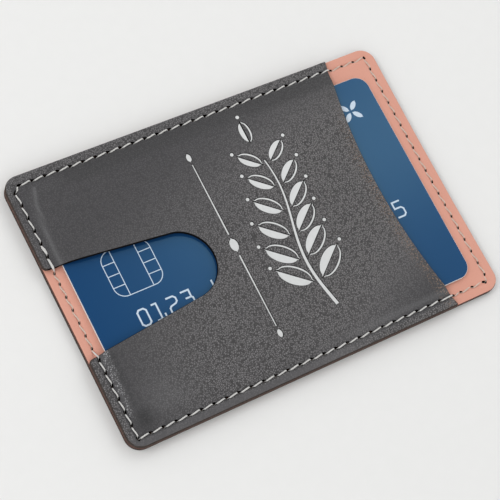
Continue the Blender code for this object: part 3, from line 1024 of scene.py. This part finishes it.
def ribbon(points, widths, closed=False):
    """A flat stroke through points, with one width or one for each point."""
    if not isinstance(widths, list):
        widths = [widths] * len(points)
    places = [Vector(point) for point in points]
    stroke, knots = poly_curve([(place.x * MM, place.y * MM, 0) for place in places], closed)
    for i, (knot, place) in enumerate(zip(knots, places)):
        before = places[i - 1] if i or closed else place * 2 - places[1]
        after = places[(i + 1) % len(places)] if i < len(places) - 1 or closed else place * 2 - places[-2]
        knot.tilt = math.pi / 2
        knot.radius = widths[i] / math.cos((place - before).angle(after - place) / 2)
    stroke.data.twist_mode = "Z_UP"
    stroke.data.extrude = MM / 2
    bpy.ops.object.convert(target="MESH")
    return bpy.context.active_object


def leaf(centre, length, width, angle, gap=None):
    """A pointed leaf, whole, or the half beyond a gap from its midrib."""
    blade = begin("leaf", bpy.ops.mesh.primitive_circle_add, vertices=32, radius=1, fill_type="NGON")
    pick("VERT", lambda v: abs(v.co.x) > 0.99)
    stretch(TIP_DRAW, 1)
    everything()
    stretch(length * MM / (2 * TIP_DRAW), width * MM / 2)
    if gap is not None:
        bpy.ops.mesh.bisect(plane_co=(0, gap * MM, 0), plane_no=(0, 1, 0), clear_inner=True)
    bpy.ops.object.mode_set(mode="OBJECT")
    blade.matrix_world = Matrix.Translation((centre[0] * MM, centre[1] * MM, 0)) @ Matrix.Rotation(angle, 4, "Z")
    return blade


def leaf_edge(centre, length, width, angle, extra):
    """The other half of a leaf as one stroke along its edge, thinner towards both tips."""
    turns = [math.pi * i / EDGE_STEPS for i in range(EDGE_STEPS + 1)]
    arc = [(math.cos(t) * length / (2 * TIP_DRAW), -math.sin(t) * width / 2) for t in turns]
    arc[0], arc[-1] = ((sign * EDGE_TIP[0] * length, -EDGE_TIP[1]) for sign in (1, -1))
    points = [Vector(centre) + Matrix.Rotation(angle, 2) @ Vector(place) for place in arc]
    return ribbon(points, [EDGE_WIDTH + EDGE_SWELL * math.sin(t) + extra for t in turns])


def dot(centre, radius):
    disc = begin("dot", bpy.ops.mesh.primitive_circle_add, vertices=24, radius=radius * MM, fill_type="NGON",
                 location=(centre[0] * MM, centre[1] * MM, 0))
    bpy.ops.object.mode_set(mode="OBJECT")
    return disc


def raised(name, figures, bottom, height):
    """Joins flat figures into one piece of even thickness, standing on a height."""
    piece = join(name, figures)
    bpy.ops.object.mode_set(mode="EDIT")
    everything()
    bpy.ops.mesh.normals_make_consistent(inside=False)
    raise_up(height)
    everything()
    bpy.ops.transform.translate(value=(0, 0, bottom))
    close()
    return piece


# %% [markdown]
# ## Foil ornament
#
# A hot stamp presses silver foil into the leather, so each figure lies in a shallow recess. A thin rim of the recess
# shows round the foil, painted near black as shade. The ornament is a plain one: a sprig with paired leaves and
# berries, and beside it a rule with diamonds. Its figures are made twice, a little fatter to cut the recess, and then
# as the foil itself.

# %% Figures of the ornament
RECESS = 0.13 * MM
FOIL_THICKNESS = 0.03 * MM
RIM_OF_RECESS = 0.26
STEM_MIDDLE = 8.6
STEM_SWING = 1.5
STEM_ENDS = (-21.5, 15.5)
STEM_WIDTH = 0.8
STEM_TAPER = 0.5
RANKS = 6
RANK_PITCH = 5.9
FIRST_RANK = -15.5
FIRST_LEAF = 9.6
LEAF_SHRINK = 0.62
LEAF_WIDTH = 0.44
LEAF_LEAN = 50
MIDRIB_GAP = 0.16
EDGE_INSET = 0.3
BERRY = 0.42
BERRY_GAP = 1.0
RULE_X = -6.4
RULE_PLACES = (2.6, 12, 20.5)
RULE_WIDTHS = (0.36, 0.30, 0.24)


def stem_x(y):
    """The sprig's stem swings gently from side to side."""
    return STEM_MIDDLE + STEM_SWING * math.sin(y * math.pi / 20)


def ornament(extra):
    """All the figures, each wider by an extra amount."""
    stem = [(stem_x(y), y) for y in spread(*STEM_ENDS, 1.4)]
    made = [ribbon(stem, [STEM_WIDTH - STEM_TAPER * i / (len(stem) - 1) + extra for i in range(len(stem))])]
    for rank in range(RANKS + 1):
        y = FIRST_RANK + RANK_PITCH * rank
        length = FIRST_LEAF - LEAF_SHRINK * rank
        for side in (0,) if rank == RANKS else (-1, 1):
            tilt = math.radians(90 - side * LEAF_LEAN)
            base = 0.9 if side else 0.4
            root = Vector((stem_x(y) + side * 0.25, y))
            heading = Vector((math.cos(tilt), math.sin(tilt)))
            middle = root + heading * (base + length / 2)
            width = LEAF_WIDTH * length
            made.append(leaf(middle, length + extra, width + extra, tilt, MIDRIB_GAP - extra / 2))
            made.append(leaf_edge(middle, length, width - EDGE_INSET, tilt, extra))
            made.append(dot(root + heading * (base + length + BERRY_GAP), BERRY + extra / 2))
    for side in (-1, 1):
        made.append(ribbon([(RULE_X, side * y) for y in RULE_PLACES], [width + extra for width in RULE_WIDTHS]))
        made.append(leaf((RULE_X, side * 22.3), 2.2 + extra, 1.1 + extra, math.radians(90)))
    made.append(leaf((RULE_X, 0), 3.6 + extra, 1.9 + extra, math.radians(90)))
    return made


# %% Recess and foil
# The recess's walls and floor get the painted shade, so a near-black rim shows round the foil.
cut(pocket_leather, painted_shade_inside(raised("stamp", ornament(RIM_OF_RECESS), POCKET_TOP - RECESS, MM)), overlaps=True)
bpy.ops.object.shade_smooth_by_angle(angle=SMOOTH_UP_TO)
foil_ornament = settle(raised("foil_ornament", ornament(0.0), POCKET_TOP - RECESS, FOIL_THICKNESS), FOIL)
print("foil ornament:", len(foil_ornament.data.polygons), "faces")

# %% [markdown]
# ## Thread
#
# A lock stitch has two threads. The upper one lies from hole to hole, dives into each hole, and turns back where it
# locks with the lower one. Each is one long curve with a section of three lobes, as a three-ply thread has, turned a
# little at every point so that the plies twist, and its mesh is pressed flatter along its own line. Each stitch leaves
# its hole on the outer side and reaches the next on the inner side, so the strokes lie slanted in the row.

# %% Thread
THREAD_SIDES = 9
PLY_VALLEY = 0.8
PLY_TURN = math.radians(34)
FLATTEN = 0.62
SHORT_STITCH = 2.4 * MM


def sewn(name, route):
    """A thread along a route of (place, radius), pressed flatter along its line."""
    rim = [(1.0 if i % 3 else PLY_VALLEY, 2 * math.pi * i / THREAD_SIDES) for i in range(THREAD_SIDES)]
    places = [(radius * math.cos(turn), radius * math.sin(turn), 0) for radius, turn in rim]
    section, _ = poly_curve(places, closed=True)
    line, knots = poly_curve([place for place, _ in route])
    for i, (knot, (_, radius)) in enumerate(zip(knots, route)):
        knot.radius = radius
        knot.tilt = PLY_TURN * i
    line.data.bevel_mode = "OBJECT"
    line.data.bevel_object = section
    bpy.ops.object.convert(target="MESH")
    thread = bpy.context.active_object
    thread.name = thread.data.name = name
    for i, vertex in enumerate(thread.data.vertices):
        height = route[i // THREAD_SIDES][0].z
        vertex.co.z = height + (vertex.co.z - height) * FLATTEN
    bpy.data.objects.remove(section, do_unlink=True)
    only(thread)
    bpy.ops.object.mode_set(mode="EDIT")
    everything()
    bpy.ops.mesh.fill_holes(sides=THREAD_SIDES)
    close()
    length = sum((after - before).length for (before, _), (after, _) in zip(route, route[1:]))
    print(name, "has", len(route), "points and is", round(length / MM), "mm long")
    return settle(thread, THREAD)


def in_mm(rows, lying, radius):
    """A stitch's end from rows of distance, rise over where it lies, share of the radius, and shift out."""
    return [(distance * MM, lying + rise * MM, radius * share, shift * MM) for distance, rise, share, shift in rows]


def stitch_line(start, end, near, middle, far):
    """Points of one stitch from the shapes of its two ends, the second one turned round, and its middle."""
    along = (end - start).normalized()
    outward = Vector((along.y, -along.x))
    length = (end - start).length
    turned = [(length - distance, height, radius, -shift) for distance, height, radius, shift in far[::-1]]
    return [(Vector((*(start + along * distance + outward * shift), height)), radius)
            for distance, height, radius, shift in (*near, *middle, *turned)]


# %% [markdown]
# The upper thread needs the height of the leather under it. A stitch that crosses the pocket's cut edge starts on the
# pocket and ends on the lining, or the other way round, so its line gets two more points beside that edge. Two
# stitches beside the notch are frayed.

# %% Upper thread
POCKET_STITCH_RADIUS = 0.18 * MM
LINING_STITCH_RADIUS = 0.185 * MM
FRAYED = (Vector((-45.2, 15.1)) * MM, Vector((-45.2, 12.2)) * MM)
FRAY = 0.9
END_ON_POCKET = in_mm([(0.15, -1.1, 0.6, 0.04), (0.42, -0.42, 0.7, 0.10), (0.62, -0.06, 0.9, 0.15),
                       (0.95, 0.01, 1.0, 0.11)], BORDER_TOP + 0.03 * MM, POCKET_STITCH_RADIUS)
END_IN_LINING = in_mm([(0.12, -0.5, 0.6, 0.06), (0.28, -0.30, 0.7, 0.15), (0.42, -0.05, 0.9, 0.23),
                       (0.78, 0.0, 1.0, 0.21)], LINING_TOP - 0.12 * MM, LINING_STITCH_RADIUS)


def over_edge(start, end, order):
    """Two points of a stitch beside the pocket's cut edge, of which the one on the pocket comes first in order 1."""
    crossed = min(pocket_edges, key=lambda edge: (edge - start).length + (edge - end).length)
    edge = (crossed - start).dot((end - start).normalized())
    top = BORDER_TOP + 0.05 * MM
    return [(edge + order * past * MM, top - drop * MM, POCKET_STITCH_RADIUS, 0.0)
            for past, drop in ((-0.25, 0), (0.12, 0.12))[::order]]


upper_route = []
for start, end in stitches:
    here, there = on_pocket(start), on_pocket(end)
    length = (end - start).length
    near, far = (END_ON_POCKET if covered else END_IN_LINING for covered in (here, there))
    middle = [(length / 2, (near[3][1] + far[3][1]) / 2 + 0.02 * MM, near[3][2] * 1.05, 0)]
    if here != there:
        middle = over_edge(start, end, 1 if here else -1)
        near, far = (near, far[:3]) if here else (near[:3], far)
    elif length < SHORT_STITCH:
        near, far = near[:3], far[:3]
    line = stitch_line(start, end, near, middle, far)
    if any(((start + end) / 2 - place).length < MM for place in FRAYED):
        run = [(place.xy - start).dot((end - start).normalized()) / length for place, _ in line]
        thicker = [1 + FRAY * math.sin(math.pi * share) ** 2 for share in run]
        line = [(place, radius * more) for (place, radius), more in zip(line, thicker)]
    upper_route += line
upper_thread = sewn("upper_thread", upper_route)

# %% [markdown]
# The lower thread mirrors the upper one. It is the same all round, because the back sheet has no steps.

# %% Lower thread
LOWER_RADIUS = 0.22 * MM
LOWER_HEIGHT = 0.08 * MM + LOWER_RADIUS * FLATTEN
LOWER_END = in_mm([(0.15, 0.6, 0.6, 0.05), (0.36, 0.36, 0.7, 0.10), (0.54, 0.05, 0.9, 0.14), (0.90, 0.0, 1.0, 0.12)],
                  LOWER_HEIGHT, LOWER_RADIUS)

lower_route = []
for start, end in stitches:
    length = (end - start).length
    kept = LOWER_END[:3] if length < SHORT_STITCH else LOWER_END
    lower_route += stitch_line(start, end, kept, [(length / 2, LOWER_HEIGHT, LOWER_RADIUS, 0)], kept)
lower_thread = sewn("lower_thread", lower_route)

# %% [markdown]
# ## Bank card
#
# The card is a plate of white plastic between two blue laminates. A plane with rounded corners is raised in three
# layers and its rims are softened by a hair. Only its flat faces are blue: its sides show the white plastic.

# %% Bank card
CARD_CORNER = 3.18 * MM
CARD_RIM = 0.08 * MM
LAMINATE = 0.1 * MM

card_size = card_high - card_low
card_place = (*(card_high.xy + card_low.xy) / 2, card_low.z)
blue_card = begin("blue_card", bpy.ops.mesh.primitive_plane_add, size=1, location=card_place)
stretch(card_size.x, card_size.y, card_place)
bpy.ops.mesh.bevel(offset_type="OFFSET", offset=CARD_CORNER, segments=14, affect="VERTICES")
everything()
for layer in (LAMINATE, card_size.z - 2 * LAMINATE, LAMINATE):
    raise_up(layer)
close()
round_edges(blue_card, CARD_RIM, 2)
settle(blue_card, BLUE, CORE)
for face in blue_card.data.polygons:
    face.material_index = EDGE_SLOT if abs(face.normal.z) < 0.95 else FACE_SLOT
print("card in mm:", [round(1000 * c, 2) for c in card_size])

# %% [markdown]
# ## Print on the card
#
# Pale lines stand for the contact chip, and a row of plain digits runs along the card, each a few straight strokes in
# a box 2.4 mm wide and 3.8 mm high. A rosette of four petals stands in the far right corner. The print is a film
# thinner than a hair, so it slides under the pocket's sheet with the card.

# %% Print on the card
INK_THICKNESS = 0.015 * MM
CHIP_LOW = (-35.4, -1.1)
CHIP_HIGH = (-23.7, 9.9)
CHIP_CORNER = 2.6
CHIP_COLUMNS = (-32.55, -26.8)
CHIP_ROWS = (1.6, 4.37, 7.1)
CHIP_STROKE = 0.19
DIGIT_STROKE = 0.40
DIGIT_START = (-33.3, -8.8)
DIGIT_PITCH = 3.6
GROUP_GAP = 3.95
ROSETTE = Vector((35.0, 19.0))
PETAL = (2.9, 1.2)
PETAL_REACH = 1.75
DIGITS = {
    "1": [[(0.1, 3.8), (1.25, 3.8), (1.25, 0.22)], [(0.1, 0.0), (2.3, 0.0), (2.3, 1.0)]],
    "2": [[(0.1, 3.8), (1.8, 3.8), (2.3, 3.3), (2.3, 2.5), (1.9, 2.1), (0.6, 1.8), (0.2, 1.4), (0.2, 0), (2.4, 0)]],
    "3": [[(0.1, 3.8), (2.1, 3.8), (2.1, 2.1), (2.4, 1.8), (2.4, 0), (0.1, 0)], [(0.7, 2.1), (1.87, 2.1)]],
    "4": [[(0.3, 3.8), (0.3, 1.6), (1.59, 1.6)], [(1.8, 3.6), (1.8, 0)], [(2.01, 1.6), (2.5, 1.6)]],
    "5": [[(2.3, 3.8), (0.3, 3.8), (0.3, 2.2), (1.9, 2.2), (2.4, 1.7), (2.4, 0.5), (1.9, 0), (0.1, 0)]],
    "6": [[(1.9, 3.8), (0.3, 3.8), (0.3, 0), (2.3, 0), (2.3, 2.0), (0.51, 2.0)]],
    "7": [[(0.1, 3.8), (2.3, 3.8), (2.3, 2.9), (1.2, 1.7), (1.2, 0)]],
    "8": [[(0.5, 2.0), (0.5, 3.8), (2.0, 3.8), (2.0, 2.21)], [(0.1, 2.0), (0.1, 0), (2.4, 0), (2.4, 2.0), (0.31, 2.0)]],
    "9": [[(2.1, 2.0), (0.3, 2.0), (0.3, 3.8), (2.3, 3.8), (2.3, 0)]],
    "0": [[(0.7, 0), (0.2, 0.5), (0.2, 3.3), (0.7, 3.8), (1.8, 3.8), (2.3, 3.3), (2.3, 0.5), (1.8, 0)]],
}


def rounded_loop(low, high, radius):
    """Points round a rectangle with round corners."""
    corners = ((high[0] - radius, high[1] - radius), (low[0] + radius, high[1] - radius),
               (low[0] + radius, low[1] + radius), (high[0] - radius, low[1] + radius))
    turns = [[(quarter + i / 8) * math.pi / 2 for i in range(9)] for quarter in range(4)]
    return [(x + radius * math.cos(turn), y + radius * math.sin(turn))
            for (x, y), quarter in zip(corners, turns) for turn in quarter]


marks = [ribbon(rounded_loop(CHIP_LOW, CHIP_HIGH, CHIP_CORNER), CHIP_STROKE, closed=True)]
half = CHIP_STROKE / 2
for x in CHIP_COLUMNS:
    marks.append(ribbon([(x, CHIP_LOW[1] + half), (x, CHIP_HIGH[1] - half)], CHIP_STROKE))
for y in CHIP_ROWS:
    marks.append(ribbon([(CHIP_LOW[0] + half, y), (CHIP_COLUMNS[0] - half, y)], CHIP_STROKE))
    marks.append(ribbon([(CHIP_COLUMNS[1] + half, y), (CHIP_HIGH[0] - half, y)], CHIP_STROKE))
for i in range(16):
    digit = str(i % 10)
    x = DIGIT_START[0] + i * DIGIT_PITCH + i // 4 * GROUP_GAP
    for stroke in DIGITS[digit]:
        marks.append(ribbon([(x + u, DIGIT_START[1] + v) for u, v in stroke], DIGIT_STROKE, closed=digit == "0"))
for angle in (math.radians(45 + 90 * quarter) for quarter in range(4)):
    marks.append(leaf(ROSETTE + PETAL_REACH * Vector((math.cos(angle), math.sin(angle))), *PETAL, angle))
card_print = settle(raised("card_print", marks, card_high.z, INK_THICKNESS), INK)
print("print:", len(marks), "strokes,", len(card_print.data.polygons), "faces")

# %% [markdown]
# ## Floor
#
# The holder lies on a plain pale table top, far larger than the picture.

# %% Floor
floor_finish = Finish("pale_floor", {"Roughness": 0.8})
floor_finish.colour(floor_finish.noise(3 * MM), (0.80, 0.80, 0.79, 1), (0.82, 0.82, 0.81, 1))
floor = begin("floor", bpy.ops.mesh.primitive_plane_add, size=4, location=(0, 0, -0.02 * MM))
bpy.ops.object.mode_set(mode="OBJECT")
settle(floor, floor_finish.material)

# %% [markdown]
# ## Made by hand
#
# A sewn piece is never quite square. This one runs out a little at its far side towards the notch end, and its mouth
# end is drawn in between the corners. The same gentle shift moves every point of the holder's pieces, so they still
# fit. A last modifier lets broad flat faces keep their flat shading next to rounded rims.

# %% Made by hand
RUN_OUT = 0.8 * MM
RUN_OUT_FROM = 30 * MM
RUN_OUT_LENGTH = 75 * MM
FAR_SIDE = 30 * MM
END_RUN_OUT = 0.15 * MM
CORNERS_OUT = 0.28 * MM
DRAWN_IN = 0.35 * MM


def hand_made(piece):
    """Shifts each point of a piece to where the real, uneven holder has it."""
    for vertex in piece.data.vertices:
        x, y, _ = vertex.co
        far_share = max(0.0, y) / FAR_SIDE
        vertex.co.y += RUN_OUT * far_share * min(1.0, max(0.0, (RUN_OUT_FROM - x) / RUN_OUT_LENGTH))
        vertex.co.x -= END_RUN_OUT * far_share * max(0.0, -x) / HALF_LENGTH
        vertex.co.x += (CORNERS_OUT - DRAWN_IN * (1 - (y / HALF_WIDTH) ** 2)) * max(0.0, x / HALF_LENGTH) ** 6


for piece in (back_leather, lining_leather, pocket_leather, foil_ornament, upper_thread, lower_thread):
    hand_made(piece)
for piece in (back_leather, lining_leather, pocket_leather, blue_card):
    modify(piece, "WEIGHTED_NORMAL", keep_sharp=True)
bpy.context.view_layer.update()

# %% [markdown]
# ## Handing over
#
# Every piece rides on the body that it moves with, and stands for the imported solid that it replaces. The leather's
# cut size and, for the pocket, the area left after its mouth and notch are worked out.

# %% Handing over
SHEET_SIZE = (2 * HALF_WIDTH, 2 * HALF_LENGTH)
mouth_angle = math.asin(HALF_WIDTH / MOUTH_RADIUS)
mouth_area = (MOUTH_INSET - MOUTH_DEPTH) * 2 * HALF_WIDTH + MOUTH_RADIUS**2 * (
    mouth_angle - math.sin(mouth_angle) * math.cos(mouth_angle))
notch_area = (NOTCH_MOUTH_HALF + NOTCH_TIP_RADIUS) * (HALF_LENGTH + NOTCH_CENTRE_X) + math.pi * NOTCH_TIP_RADIUS**2 / 2
pocket_area = SHEET_SIZE[0] * SHEET_SIZE[1] - mouth_area - notch_area
print("pocket sheet:", round(pocket_area * 1e6), "square mm of leather")

for piece, node, slot in (
    (back_leather, "back_panel", "grey_leather"),
    (lining_leather, "lining_panel", "pink_leather"),
    (pocket_leather, "front_panel", "grey_leather"),
    (upper_thread, "needle_thread", "white_thread"),
    (lower_thread, "bobbin_thread", "white_thread"),
):
    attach(piece, "holder")
    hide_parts(node)
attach(foil_ornament, "holder")
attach(blue_card, "card")
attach(card_print, "card")
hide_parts("bank_card")
